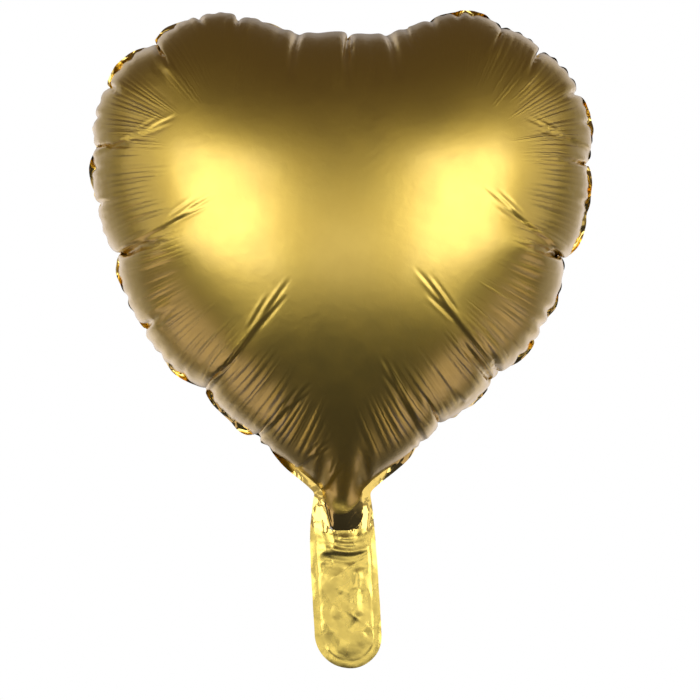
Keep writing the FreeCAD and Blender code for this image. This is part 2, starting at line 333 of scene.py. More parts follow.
class Film:
    """Inextensible film under pressure, small steps, position based."""

    def __init__(s, m, x0, dt, pressure, bend, damp, comp, rest=None):
        s.m, s.dt, s.p, s.damp, s.comp = m, dt, pressure, damp, comp
        flat = m["flat"] * 1e-3
        nv = s.nv = len(flat)
        faces = np.concatenate([m["front"], m["rear"], m["outer"]])
        e = edges_of(faces)[0]
        length = np.linalg.norm(flat[e[:, 0]] - flat[e[:, 1]], axis=1)
        if rest is not None:
            length = length * 0.5 * (rest[e[:, 0]] + rest[e[:, 1]])
        f32 = np.float32
        s.edges = [
            (e[g, 0].copy(), e[g, 1].copy(), length[g].astype(f32)[:, None]) for g in colours(e, nv)
        ]
        st, wt = [], []
        for name, mult in (("front", 1.0), ("rear", 1.0), ("outer", 4.0)):
            s2, f2, c2, o2 = edges_of(m[name])
            it = np.where(c2 == 2)[0]
            i, j = s2[it, 0], s2[it, 1]
            k, l = o2[f2[it]], o2[f2[it] + 1]

            def cot(a, b, c):
                u, v = flat[b] - flat[a], flat[c] - flat[a]
                return (u * v).sum(1) / np.abs(u[:, 0] * v[:, 1] - u[:, 1] * v[:, 0])

            c03, c04, c01, c02 = cot(i, j, k), cot(i, j, l), cot(j, i, k), cot(j, i, l)

            def tri(a, b, c):
                u, v = flat[b] - flat[a], flat[c] - flat[a]
                return 0.5 * np.abs(u[:, 0] * v[:, 1] - u[:, 1] * v[:, 0])

            area = tri(i, j, k) + tri(i, j, l)
            st.append(np.stack([i, j, k, l], 1))
            wt.append(
                np.stack([c01 + c02, c03 + c04, -(c01 + c03), -(c02 + c04), mult / area], 1)
            )
        st, wt = np.concatenate(st), np.concatenate(wt)
        va = np.zeros(nv)
        fa = flat[faces]
        ar = 0.5 * np.abs(
            (fa[:, 1, 0] - fa[:, 0, 0]) * (fa[:, 2, 1] - fa[:, 0, 1])
            - (fa[:, 2, 0] - fa[:, 0, 0]) * (fa[:, 1, 1] - fa[:, 0, 1])
        )
        for k in range(3):
            np.add.at(va, faces[:, k], ar / 3)
        s.mass = float(np.median(va))
        s.bends = []
        for g in colours(st, nv):
            w = wt[g, :4]
            alpha = 1.0 / (bend * 3 * wt[g, 4] / s.mass * dt * dt)
            den = (w * w).sum(1) + alpha
            s.bends.append(
                (
                    st[g].T.copy(),
                    [w[:, q : q + 1].astype(f32) for q in range(4)],
                    (1.0 / den).astype(f32)[:, None],
                )
            )
        s.x = x0.astype(f32).copy()
        s.v = np.zeros_like(s.x)
        s.f = np.zeros_like(s.x)
        s.gas = np.concatenate([m["front"], m["rear"]])
        s.n = 0
        s.crease, s.grip = None, 0.0
        s.low = np.zeros(nv, bool)
        s.low[m["nb"] + 2 * m["ni"] :] = m["flat"][m["nb"] + 2 * m["ni"] :, 1] < m["zb"] - 1.0

    def press(s):
        x, g = s.x, s.gas
        a, b, c = x[g[:, 0]], x[g[:, 1]], x[g[:, 2]]
        n = np.cross(b - a, c - a) * (s.p / 6.0)
        f = np.empty((s.nv, 3))
        for k in range(3):
            f[:, k] = (
                np.bincount(g[:, 0], n[:, k], s.nv)
                + np.bincount(g[:, 1], n[:, k], s.nv)
                + np.bincount(g[:, 2], n[:, k], s.nv)
            )
        f /= s.mass
        f[s.low, 2] -= TAIL_PULL            # the tail hangs
        f[s.low, 1] -= TAIL_SPRING * x[s.low, 1]
        if s.crease is not None and s.grip > 0:
            f += s.grip * s.crease
        s.f = f.astype(np.float32)

    def step(s, n, pe=4, be=2):
        dt = s.dt
        for _ in range(n):
            if s.n % pe == 0:
                s.press()
            s.n += 1
            s.v += dt * s.f
            s.v *= 1 - s.damp * dt
            x0 = s.x
            x = x0 + dt * s.v
            for i, j, l0 in s.edges:
                a = x.take(i, 0)
                b = x.take(j, 0)
                d = a - b
                l = np.sqrt(np.einsum("ij,ij->i", d, d))[:, None]
                r = l - l0
                if s.comp < 1:
                    r = np.where(r < 0, r * s.comp, r)
                d *= 0.5 * r / np.maximum(l, 1e-9)
                x[i] = a - d
                x[j] = b + d
            if s.n % be == 0:
                for ix, w, dn in s.bends:
                    a, b, c, d = x.take(ix[0], 0), x.take(ix[1], 0), x.take(ix[2], 0), x.take(ix[3], 0)
                    e = (w[0] * a + w[1] * b + w[2] * c + w[3] * d) * dn
                    x[ix[0]] = a - w[0] * e
                    x[ix[1]] = b - w[1] * e
                    x[ix[2]] = c - w[2] * e
                    x[ix[3]] = d - w[3] * e
            s.v = (x - x0) / dt
            s.x = x


TAIL_PULL = 6.0
TAIL_SPRING = 600.0


def onto(m0, x0, m1):
    """A shape of one mesh carried to a finer one through the flat pattern."""
    f0, f1 = m0["flat"], m1["flat"]
    nb, ni = m1["nb"], m1["ni"]
    out = np.zeros((len(f1), 3))

    def interp(faces, pts):
        tree = BVHTree.FromPolygons(
            [(float(a), float(b), 0.0) for a, b in f0], [tuple(map(int, t)) for t in faces]
        )
        idx = np.zeros(len(pts), int)
        loc = np.zeros((len(pts), 2))
        for k, (a, b) in enumerate(pts):
            p, _, i, _ = tree.find_nearest((float(a), float(b), 0.0))
            idx[k] = i
            loc[k] = (p.x, p.y)
        t = faces[idx]
        a, b, c = f0[t[:, 0]], f0[t[:, 1]], f0[t[:, 2]]
        v0, v1, v2 = b - a, c - a, loc - a
        den = v0[:, 0] * v1[:, 1] - v1[:, 0] * v0[:, 1]
        u = (v2[:, 0] * v1[:, 1] - v1[:, 0] * v2[:, 1]) / den
        w = (v0[:, 0] * v2[:, 1] - v2[:, 0] * v0[:, 1]) / den
        return (
            (1 - u - w)[:, None] * x0[t[:, 0]] + u[:, None] * x0[t[:, 1]] + w[:, None] * x0[t[:, 2]]
        )

    out[:nb] = interp(m0["front"], f1[:nb])
    out[nb : nb + ni] = interp(m0["front"], f1[nb : nb + ni])
    out[nb + ni : nb + 2 * ni] = interp(m0["rear"], f1[nb + ni : nb + 2 * ni])
    out[nb + 2 * ni :] = interp(m0["outer"], f1[nb + 2 * ni :])
    return out


GRIP = [1.0, 1.8, 2.2, 2.2, 1.6, 1.0, 0.4, 0.0]
# Where the deep creases run: rim x, z, inner end x, z in millimetres, and how hard they fold
CREASES = [
    (-183.0, 286.5, -130.5, 307.5, 4.0),
    (-162.8, 216.0, -102.0, 249.0, 7.0),
    (-138.0, 160.5, -124.5, 175.5, 3.0),
    (-97.5, 114.8, -46.5, 183.0, 8.0),
    (-60.0, 79.5, -30.0, 111.0, 5.0),
    (-33.8, 52.5, -16.5, 69.0, 4.0),
    (-12.8, 36.0, -3.0, 55.5, 4.0),
    (184.5, 291.0, 141.0, 307.5, 5.0),
    (163.5, 211.5, 109.5, 253.5, 7.0),
    (116.2, 124.5, 58.5, 192.0, 8.0),
    (62.2, 75.0, 31.5, 129.0, 6.0),
    (19.5, 36.0, 13.5, 52.5, 3.0),
    (3.8, 378.0, 3.0, 357.0, 6.0),
    (48.8, 382.5, 52.5, 364.5, 4.5),
    (-75.0, 393.0, -75.0, 378.0, 3.0),
    (-141.8, 378.0, -132.0, 363.0, 3.0),
    (116.2, 392.2, 114.8, 379.5, 3.0),
    (150.0, 372.0, 141.0, 358.5, 3.0),
    (177.0, 336.0, 162.0, 330.0, 2.5),
    (-176.2, 336.0, -160.5, 330.0, 2.5),
    (187.5, 249.0, 171.0, 255.0, 2.5),
    (-187.5, 251.2, -172.5, 255.0, 2.5),
    (90.0, 103.5, 78.0, 117.0, 2.5),
]


def crease_pull(m, x):
    """Acceleration field that presses the film in along the creases, front and rear, and the
    seam inwards with it."""
    nb, ni = m["nb"], m["ni"]
    px, pz = x[:, 0], x[:, 2]
    a = np.zeros((len(x), 3))
    inner = np.zeros(len(x), bool)
    inner[nb : nb + 2 * ni] = True
    back = np.zeros(len(x), bool)
    back[nb + ni : nb + 2 * ni] = True
    for rx, rz, ix, iz, depth in CREASES:
        p = np.array([rx, rz]) * 1e-3
        q = np.array([ix, iz]) * 1e-3
        d = q - p
        ln = np.linalg.norm(d)
        d /= ln
        t = (px - p[0]) * d[0] + (pz - p[1]) * d[1]
        s = -(px - p[0]) * d[1] + (pz - p[1]) * d[0]
        u = t / ln
        g = np.exp(-0.5 * (s / CREASE_WIDTH) ** 2)
        run = np.clip((1.0 - u) / 0.35, 0, 1) * (u > -0.35)
        k = depth * np.where(back, 0.8, 1.0)
        on = inner & (run > 0)
        a[on, 1] -= (k * g * run * np.sign(x[:, 1]))[on]
        near = np.exp(-np.maximum(t, 0) / 0.025) * g * (u > -0.5) * (u < 1) * ~(
            (np.arange(len(x)) >= nb + 2 * ni) & (m["flat"][:, 1] < m["zb"] + 20)
        )
        a[:, 0] += k * near * d[0] * RIM_PULL
        a[:, 2] += k * near * d[1] * RIM_PULL
    a[: nb + 2 * ni] -= a.sum(0) / (nb + 2 * ni)     # no push on the whole balloon
    return a


CREASE_WIDTH = 0.0028
RIM_PULL = 0.25


SEAM_BOTTOM = 0.006     # the cross seal's height over the fold line, metres


def upright(m, x):
    """Turns the balloon so that its seam is as even as it can be about x = 0, in the plane y = 0."""
    nb = m["nb"]
    f = m["flat"][:nb]
    mirror = ((f[:, None, 0] + f[None, :, 0]) ** 2 + (f[:, None, 1] - f[None, :, 1]) ** 2).argmin(1)
    p = x[:nb].astype(float)
    q = 0.5 * (p + p[mirror] * (-1, 1, 1))
    q[:, 1] = 0
    cp, cq = p.mean(0), q.mean(0)
    u, _, vt = np.linalg.svd((p - cp).T @ (q - cq))
    fix = np.diag([1, 1, np.sign(np.linalg.det(vt.T @ u.T))])
    r = vt.T @ fix @ u.T
    out = (x - cp) @ r.T + cq
    out[:, 2] += SEAM_BOTTOM - out[:nb, 2].min()
    return out


def ramp01(a, b, x):
    t = np.clip((x - a) / (b - a), 0, 1)
    return t * t * (3 - 2 * t)


def settle(m, x):
    """Neck over the origin, and the tail hanging from it with its slight lean."""
    x = upright(m, x)
    nb = m["nb"]
    low = m["flat"][:nb, 1] < m["zb"] + 0.5
    for k in (0, 1):
        off = x[:nb, k][low].mean()
        x[:, k] -= off * ramp01(0.07, 0.012, x[:, 2])
    foot = m["flat"][:, 1] < m["zb"] - TAIL_LEN + 12
    depth = np.clip(SEAM_BOTTOM - x[:, 2], 0, None)
    full = SEAM_BOTTOM - x[foot, 2].mean()
    x[:, 0] += (TAIL_LEAN_X - x[foot, 0].mean()) * depth / full
    x[:, 1] += (0 - x[foot, 1].mean()) * depth / full
    return x


TAIL_LEAN_X = 0.0055


def inflate():
    steps = STEPS
    q = flat_outline()
    m = flat_mesh(q, 8.0)
    flat = m["flat"] * 1e-3
    x = np.zeros((len(flat), 3))
    x[:, 0], x[:, 2] = flat[:, 0], flat[:, 1]
    nb, ni = m["nb"], m["ni"]
    x[nb : nb + ni, 1] = -0.003
    x[nb + ni : nb + 2 * ni, 1] = 0.003
    s = Film(m, x, 1e-3, 4.0, 2e-6, 6.0, 0.02)
    s.step(1500, pe=3)
    for h, bend, n, ramp in steps:
        m1 = flat_mesh(q, h)
        x = onto(m, s.x, m1)
        rng = np.random.default_rng(5)
        x += rng.normal(0, 0.02 * h * 1e-3, x.shape)
        rest = np.ones(len(x))
        fz, fx = m1["flat"][:, 1], m1["flat"][:, 0]
        out = np.zeros(len(x), bool)
        out[m1["nb"] + 2 * m1["ni"] :] = True
        tail = out & (fz < m1["zb"] - 4)
        wob = 0
        r2 = np.random.default_rng(11)
        for _ in range(14):
            k = r2.normal(0, 1, 2)
            k *= r2.uniform(0.25, 0.8) / np.linalg.norm(k)
            wob = wob + np.sin(k[0] * fx + k[1] * fz + r2.uniform(0, 6.3))
        rest[tail] += 0.006 * wob[tail]
        s1 = Film(m1, x, 0.7e-3, 4.0, bend, 3.0, ramp[0], rest)
        for k, c in enumerate(ramp):
            s1.comp = c
            s1.grip = GRIP[min(k, len(GRIP) - 1)]
            s1.x = upright(m1, s1.x).astype(np.float32)
            s1.v *= 0.2
            s1.crease = crease_pull(m1, s1.x)
            s1.step(n // len(ramp))
        m, s = m1, s1
    return m, settle(m, s.x.astype(float))

# ---------------------------------------------------------------------------
# Meshes
# ---------------------------------------------------------------------------
def subdivide(x, uv, faces):
    """One round of Loop subdivision. The edge of the sheet stays one curve of its own."""
    nv = len(x)
    raw = np.concatenate([faces[:, [0, 1]], faces[:, [1, 2]], faces[:, [2, 0]]])
    opp = np.concatenate([faces[:, 2], faces[:, 0], faces[:, 1]])
    s = np.sort(raw, 1)
    e, inv, cnt = np.unique(s, axis=0, return_inverse=True, return_counts=True)
    inv = inv.ravel()
    far = np.zeros((len(e), 3))
    for k in range(3):
        far[:, k] = np.bincount(inv, x[opp, k], len(e))
    ends = x[e[:, 0]] + x[e[:, 1]]
    inner = cnt == 2
    mid = 0.5 * ends
    mid[inner] = 0.375 * ends[inner] + 0.125 * far[inner]
    deg = np.bincount(e.ravel(), minlength=nv).astype(float)
    tot = np.zeros((nv, 3))
    rim = np.zeros((nv, 3))
    edge = e[~inner]
    on_rim = np.zeros(nv, bool)
    on_rim[edge.ravel()] = True
    for k in range(3):
        tot[:, k] = np.bincount(e[:, 0], x[e[:, 1], k], nv) + np.bincount(e[:, 1], x[e[:, 0], k], nv)
        rim[:, k] = np.bincount(edge[:, 0], x[edge[:, 1], k], nv) + np.bincount(
            edge[:, 1], x[edge[:, 0], k], nv
        )
    n = np.maximum(deg, 3)
    beta = np.where(n == 3, 3 / 16, 3 / (8 * n))[:, None]
    new = (1 - deg[:, None] * beta) * x + beta * tot
    new[on_rim] = 0.75 * x[on_rim] + 0.125 * rim[on_rim]
    m = inv.reshape(3, -1).T + nv
    a, b, c = faces.T
    ab, bc, ca = m.T
    f = np.concatenate(
        [np.stack(t, 1) for t in ((a, ab, ca), (ab, b, bc), (ca, bc, c), (ab, bc, ca))]
    )
    return (
        np.concatenate([new, mid]),
        np.concatenate([uv, 0.5 * (uv[e[:, 0]] + uv[e[:, 1]])]),
        f,
    )


def compact(x, uv, faces):
    used, inv = np.unique(faces, return_inverse=True)
    return x[used], uv[used], inv.reshape(faces.shape)


def mesh_piece(name, x, uv, faces, material):
    """A smooth sheet whose UV map is its flat pattern, in metres."""
    me = bpy.data.meshes.new(name)
    me.vertices.add(len(x))
    me.vertices.foreach_set("co", x.astype(np.float32).ravel())
    me.loops.add(faces.size)
    me.loops.foreach_set("vertex_index", faces.astype(np.int32).ravel())
    me.polygons.add(len(faces))
    me.polygons.foreach_set("loop_start", np.arange(0, faces.size, 3, dtype=np.int32))
    me.update(calc_edges=True)
    me.polygons.foreach_set("use_smooth", [True] * len(faces))
    lay = me.uv_layers.new(name="Flat")
    lay.data.foreach_set("uv", uv[faces.ravel()].astype(np.float32).ravel())
    me.validate()
    me.materials.append(material)
    ob = bpy.data.objects.new(name, me)
    bpy.context.scene.collection.objects.link(ob)
    return ob


def area_of(x, faces):
    a, b, c = x[faces[:, 0]], x[faces[:, 1]], x[faces[:, 2]]
    n = np.cross(b - a, c - a)
    return float(0.5 * np.sqrt((n * n).sum(1)).sum())


# ---------------------------------------------------------------------------
# Materials
# ---------------------------------------------------------------------------
class Nodes:
    """A short hand for node trees."""

    def __init__(s, name):
        s.mat = bpy.data.materials.new(name)
        s.mat.use_nodes = True
        s.t = s.mat.node_tree
        s.t.nodes.clear()
        s.out = s.t.nodes.new("ShaderNodeOutputMaterial")

    def new(s, kind, **values):
        n = s.t.nodes.new("ShaderNode" + kind)
        for k, v in values.items():
            if k[0] == "_":
                setattr(n, k[1:], v)
            else:
                s.put(n, k.replace("__", " "), v)
        return n

    def put(s, node, key, value):
        sock = node.inputs[int(key[1:])] if key[0] == "i" and key[1:].isdigit() else node.inputs[key]
        if isinstance(value, bpy.types.NodeSocket):
            s.t.links.new(value, sock)
        else:
            sock.default_value = value

    def math(s, op, a, b=0.0, c=None, clamp=False):
        n = s.new("Math", _operation=op, _use_clamp=clamp, i0=a, i1=b)
        if c is not None:
            s.put(n, "i2", c)
        return n.outputs[0]

    def noise(s, at, scale, detail=2.0, rough=0.5, distort=0.0, kind="FBM"):
        n = s.new("TexNoise", _noise_dimensions="3D", Vector=at)
        n.inputs["Scale"].default_value = scale
        n.inputs["Detail"].default_value = detail
        n.inputs["Roughness"].default_value = rough
        n.inputs["Distortion"].default_value = distort
        return n.outputs[0]

    def flat(s, sx=1.0, sy=1.0, turn=0.0, shift=(0, 0, 0)):
        uv = s.new("UVMap", _uv_map="Flat")
        m = s.new("Mapping", Vector=uv.outputs[0])
        m.inputs["Scale"].default_value = (sx, sy, 1)
        m.inputs["Rotation"].default_value = (0, 0, turn)
        m.inputs["Location"].default_value = shift
        return m.outputs[0]

    def span(s, value, a, b, lo=0.0, hi=1.0):
        n = s.new("MapRange", _interpolation_type="SMOOTHSTEP")
        s.put(n, "i0", value)
        for k, v in ((1, a), (2, b), (3, lo), (4, hi)):
            s.put(n, "i%d" % k, v)
        return n.outputs[0]

    def mix(s, fac, a, b):
        n = s.new("Mix", _data_type="RGBA")
        s.put(n, "i0", fac)
        s.put(n, "i6", a)
        s.put(n, "i7", b)
        return n.outputs[2]

    def bump(s, height, strength, distance, normal=None):
        n = s.new("Bump", Height=height)
        n.inputs["Strength"].default_value = strength
        n.inputs["Distance"].default_value = distance
        if normal is not None:
            s.put(n, "Normal", normal)
        return n.outputs[0]


def rgb(r, g, b):
    return (r, g, b, 1.0)


def triangle_folds(n, at_list, amps):
    """Sum of folded planes, as crumpled foil has: flat facets and sharp edges."""
    total = None
    for (vec, freq, warp), amp in zip(at_list, amps):
        sep = n.new("SeparateXYZ", Vector=vec).outputs[0]
        w = n.noise(vec, warp, 1.0)
        x = n.math("MULTIPLY_ADD", sep, freq, n.math("MULTIPLY", w, 2.6))
        tri = n.math("PINGPONG", x, 1.0)
        t = n.math("MULTIPLY", tri, amp)
        total = t if total is None else n.math("ADD", total, t)
    return total


def gloss_foil(name, tint, rough, crumple, fine):
    """Bare metallised film: mirror-like facets with fine handling marks."""
    n = Nodes(name)
    folds = triangle_folds(
        n,
        [
            (n.flat(turn=0.35), 62.0, 40.0),
            (n.flat(turn=1.45, shift=(0.3, 0.1, 0)), 95.0, 55.0),
            (n.flat(turn=2.5, shift=(0.7, 0.4, 0)), 150.0, 90.0),
            (n.flat(turn=0.9, shift=(0.2, 0.9, 0)), 230.0, 120.0),
        ],
        (1.0, 0.6, 0.35, 0.2),
    )
    marks = n.noise(n.flat(sx=1.0, sy=0.6), 900.0, 3.0, 0.6, 0.4)
    b1 = n.bump(folds, 0.8, crumple)
    b2 = n.bump(marks, 0.35, fine, b1)
    patch = n.noise(n.flat(), 60.0, 2.0)
    r = n.span(patch, 0.3, 0.7, rough * 0.7, rough * 1.5)
    c = n.mix(n.span(n.noise(n.flat(), 120.0, 2.0), 0.35, 0.7), tint, tuple(v * 0.9 for v in tint[:3]) + (1,))
    p = n.new("BsdfPrincipled", Metallic=1.0, Base__Color=c, Roughness=r, Normal=b2)
    n.t.links.new(p.outputs[0], n.out.inputs[0])
    return n.mat


def satin_foil(name, satin, bare, flat_edge):
    """Satin-printed film. The print stops near the neck, where the bare metal shows."""
    n = Nodes(name)
    # faint rolling direction, print mottle and micro wrinkles
    grain = n.noise(n.flat(sx=1.0, sy=0.25), 2600.0, 2.0, 0.55)
    ripple = n.noise(n.flat(), 140.0, 2.0, 0.5, 0.6)
    # narrow wrinkles that run in from the rim
    rim = n.new("UVMap", _uv_map="Rim").outputs[0]
    sd = n.new("SeparateXYZ", Vector=rim)
    stretched = n.new("Mapping", Vector=rim)
    stretched.inputs["Scale"].default_value = (1.0, 0.045, 1.0)
    wander = n.noise(stretched.outputs[0], 55.0, 2.0)
    cyc = n.math("MULTIPLY_ADD", sd.outputs[0], 1000.0 / RIPPLE_PITCH, n.math("MULTIPLY", wander, 1.7))
    tri = n.math("PINGPONG", cyc, 0.5)
    groove = n.span(tri, 0.0, 0.42)
    pick = n.span(n.noise(stretched.outputs[0], 110.0, 1.0), 0.30, 0.58)
    how = n.new("Attribute", _attribute_name="ripples").outputs["Fac"]
    deep = n.math("MULTIPLY", groove, n.math("MULTIPLY", how, pick))
    b0 = n.bump(deep, 1.0, RIPPLE * 1e-3)
    b1 = n.bump(ripple, 0.25, 0.0004, b0)
    b2 = n.bump(grain, 0.22, 0.00006, b1)
    mottle = n.noise(n.flat(), 38.0, 4.0, 0.6)
    tint = n.mix(n.span(mottle, 0.3, 0.72), satin, tuple(v * f for v, f in zip(satin[:3], (0.95, 0.935, 0.9))) + (1,))
    r = n.span(mottle, 0.25, 0.75, SATIN_ROUGH - 0.025, SATIN_ROUGH + 0.03)
    p = n.new("BsdfPrincipled", Metallic=1.0, Base__Color=tint, Roughness=r, Normal=b2)
    p.inputs["Coat Weight"].default_value = 1.0      # the print's clear lacquer
    p.inputs["Coat Roughness"].default_value = 0.24
    p.inputs["Coat IOR"].default_value = 1.55
    # bare part
    folds = triangle_folds(
        n,
        [(n.flat(turn=0.2), 70.0, 45.0), (n.flat(turn=1.9, shift=(0.4, 0.2, 0)), 120.0, 70.0)],
        (1.0, 0.5),
    )
    g = n.new(
        "BsdfPrincipled",
        Metallic=1.0,
        Base__Color=bare,
        Roughness=n.span(mottle, 0.3, 0.7, 0.07, 0.14),
        Normal=n.bump(folds, 0.5, 0.0006),
    )
    sep = n.new("SeparateXYZ", Vector=n.flat())
    across = sep.outputs[0]
    bow = n.math("MINIMUM", n.math("MULTIPLY", n.math("MULTIPLY", across, across), 26.0), 0.008)
    edge = n.math("SUBTRACT", sep.outputs[1], bow)
    edge = n.math("ADD", edge, n.math("MULTIPLY", n.noise(n.flat(), 55.0, 2.0), 0.003))
    fac = n.span(edge, flat_edge - 0.0005, flat_edge + 0.0025)
    mixer = n.new("MixShader", i0=fac)
    n.t.links.new(g.outputs[0], mixer.inputs[1])
    n.t.links.new(p.outputs[0], mixer.inputs[2])
    n.t.links.new(mixer.outputs[0], n.out.inputs[0])
    return n.mat


def clear_film(name):
    n = Nodes(name)
    haze = n.noise(n.flat(), 300.0, 3.0)
    p = n.new(
        "BsdfPrincipled",
        Base__Color=n.mix(n.span(haze, 0.3, 0.7), rgb(0.86, 0.88, 0.88), rgb(0.74, 0.77, 0.78)),
        Roughness=n.span(haze, 0.3, 0.7, 0.1, 0.2),
        Alpha=0.5,
        Normal=n.bump(haze, 0.3, 0.0002),
    )
    n.t.links.new(p.outputs[0], n.out.inputs[0])
    return n.mat


def plain(name, color, rough, glow=0.0):
    n = Nodes(name)
    if glow:
        p = n.new("Emission", Color=color, Strength=glow)
    else:
        p = n.new("BsdfPrincipled", Base__Color=color, Roughness=rough)
    n.t.links.new(p.outputs[0], n.out.inputs[0])
    return n.mat


SATIN_ROUGH = 0.36
SATIN = rgb(0.85, 0.61, 0.105)
BARE = rgb(0.95, 0.70, 0.20)

# ---------------------------------------------------------------------------
# Pieces
# ---------------------------------------------------------------------------
m, X = inflate()
NB, NI, ZB = m["nb"], m["ni"], m["zb"]
FLAT = m["flat"] * 1e-3
mat_satin = satin_foil("satin_print", SATIN, BARE, (ZB + PRINT_EDGE) * 1e-3)
mat_gloss = gloss_foil("bare_gold_film", BARE, 0.10, 0.0005, 0.00006)
mat_tail = gloss_foil("bare_gold_tail", rgb(0.98, 0.76, 0.19), 0.25, 0.00022, 0.00003)
mat_clear = clear_film("clear_film")

ROUNDS = 1


def soft_noise(t, seed):
    """Smooth noise of one number, -1 to 1."""
    rng = np.random.default_rng(seed)
    tab = rng.uniform(-1, 1, 512)
    k = np.floor(t).astype(int)
    w = t - k
    w = w * w * (3 - 2 * w)
    return tab[k % 512] * (1 - w) + tab[(k + 1) % 512] * w


def normals_of(x, f):
    n = np.cross(x[f[:, 1]] - x[f[:, 0]], x[f[:, 2]] - x[f[:, 0]])
    out = np.zeros_like(x)
    for c in range(3):
        for k in range(3):
            out[:, k] += np.bincount(f[:, c], n[:, k], len(x))
    return out / np.maximum(np.linalg.norm(out, axis=1), 1e-12)[:, None]


def rim_coordinates(uv):
    """For each flat point, how far round the rim it is and how far in from it, in millimetres."""
    seam = FLAT[:NB]
    step = np.linalg.norm(np.diff(np.vstack([seam, seam[:1]]), axis=0), axis=1)
    arc = np.concatenate([[0], np.cumsum(step)[:-1]]) * 1e3
    dense = 10
    kd = KDTree(NB * dense)
    run = []
    for i in range(NB):
        a, b = seam[i], seam[(i + 1) % NB]
        for k in range(dense):
            t = k / dense
            q = a * (1 - t) + b * t
            kd.insert((float(q[0]), float(q[1]), 0.0), len(run))
            run.append(arc[i] + t * step[i] * 1e3)
    kd.balance()
    s = np.zeros(len(uv))
    d = np.zeros(len(uv))
    for k, (a, b) in enumerate(uv):
        _, i, dd = kd.find((float(a), float(b), 0.0))
        s[k] = run[i]
        d[k] = dd * 1e3
    return s, d, step.sum() * 1e3


def relief(x, uv, f, seed, share):
    """The overlapping folds of the deep creases, and how strong the fine ripples are where."""
    s, d, per = rim_coordinates(uv)
    z = x[:, 2] * 1e3
    px, pz = x[:, 0] * 1e3, z
    rng = np.random.default_rng(seed)
    h = np.zeros(len(x))
    near = np.zeros(len(x))
    for rx, rz, ix, iz, depth in CREASES:
        jit = rng.uniform(-1, 1, 6)
        if share < 1:
            rx, ix, iz = rx + 2 * jit[0], ix + 6 * jit[1], iz + 6 * jit[2]
        a, b = np.array([rx, rz]), np.array([ix, iz])
        ln = np.linalg.norm(b - a)
        e = (b - a) / ln
        t = (px - a[0]) * e[0] + (pz - a[1]) * e[1]
        u = t / ln
        # positive on the upper side
        up = 1.0 if e[0] > 0 else -1.0
        bow = (2.2 if depth >= 5 else 0.8) * np.sin(math.pi * np.clip(u, 0, 1)) * (0.6 + 0.4 * jit[3])
        c = up * (-(px - a[0]) * e[1] + (pz - a[1]) * e[0]) + bow
        fade = np.clip(1 - u, 0, 1) ** 0.8 * ramp01(-0.15, 0.08, u)
        w = FOLD_EDGE * (1 + 0.5 * np.clip(u, 0, 1))
        lip = np.tanh(c / w) * np.exp(-np.abs(c - 0.6) / 6.5)
        h += share * FOLD * (depth / 8.0) ** 0.7 * fade * lip * ramp01(2, 12, d)
        if depth >= 4:
            # the fold runs out in a few narrow lines side by side
            for q, (turn, back, reach) in enumerate(((-0.06, 0.40, 0.36), (0.02, 0.26, 0.34), (0.11, 0.44, 0.30))):
                turn += 0.04 * jit[4]
                cc, ss = math.cos(turn), math.sin(turn)
                g = np.array([e[0] * cc - e[1] * ss, e[0] * ss + e[1] * cc])
                o = b - e * ln * back + np.array([-e[1], e[0]]) * (-2.6 + 2.6 * q)
                tt = (px - o[0]) * g[0] + (pz - o[1]) * g[1]
                cd = -(px - o[0]) * g[1] + (pz - o[1]) * g[0]
                uu = tt / (reach * ln + 8)
                line = np.exp(-0.5 * (cd / 0.85) ** 2) - 0.55 * np.exp(-0.5 * ((cd - 2.0) / 1.1) ** 2)
                h -= share * LINE * (depth / 8.0) ** 0.5 * line * ramp01(0, 0.25, uu) * ramp01(1.0, 0.55, uu)
        side = np.exp(-0.5 * (c / (16 + 1.2 * depth)) ** 2) * ramp01(-0.1, 0.2, u) * ramp01(1.15, 0.7, u)
        near = np.maximum(near, side * min(1.0, depth / 5.0))
    reach = 104 + 14 * soft_noise(s / 11.0, seed + 4)
    amount = ramp01(24, 44, d) * ramp01(reach, reach - 34, d) * ramp01(24, 46, z)
    amount *= 1 - 0.55 * ramp01(315, 350, z)
    amount *= np.maximum(ramp01(4, 17, np.abs(px)), ramp01(170, 230, z))
    amount *= np.clip(0.42 + 0.22 * soft_noise(s / 34.0, seed + 5) + 0.75 * near, 0, 1.1)
    # a slow swell between the ripples, in the film itself
    phase = 2 * math.pi * s / 13.0 + 2.4 * soft_noise(s / 31.0, seed)
    h += 0.10 * amount * np.sin(phase)
    return x + normals_of(x, f) * (h * 1e-3)[:, None], s * 1e-3, d * 1e-3, amount, per * 1e-3


def film(name, faces, material, seed=None, share=1.0):
    x, uv, f = compact(X, FLAT, faces)
    flat3 = np.column_stack([uv, np.zeros(len(uv))])
    cut = area_of(flat3, f)
    size = uv.max(0) - uv.min(0)
    for _ in range(ROUNDS):
        x, uv, f = subdivide(x, uv, f)
    if seed is None:
        return mesh_piece(name, x, uv, f, material), cut, size
    x, s, d, amount, per = relief(x, uv, f, seed, share)
    ob = mesh_piece(name, x, uv, f, material)
    me = ob.data
    corner = np.empty(len(me.loops), dtype=np.int32)
    me.loops.foreach_get("vertex_index", corner)
    sc = s[corner].reshape(-1, 3)
    sc = np.where(sc.max(1, keepdims=True) - sc > per / 2, sc + per, sc).ravel()
    lay = me.uv_layers.new(name="Rim")
    lay.data.foreach_set("uv", np.column_stack([sc, d[corner]]).astype(np.float32).ravel())
    at = me.attributes.new("ripples", "FLOAT", "POINT")
    at.data.foreach_set("value", amount.astype(np.float32))
    me.uv_layers.active = me.uv_layers["Flat"]
    me.uv_layers["Flat"].active_render = True
    return ob, cut, size


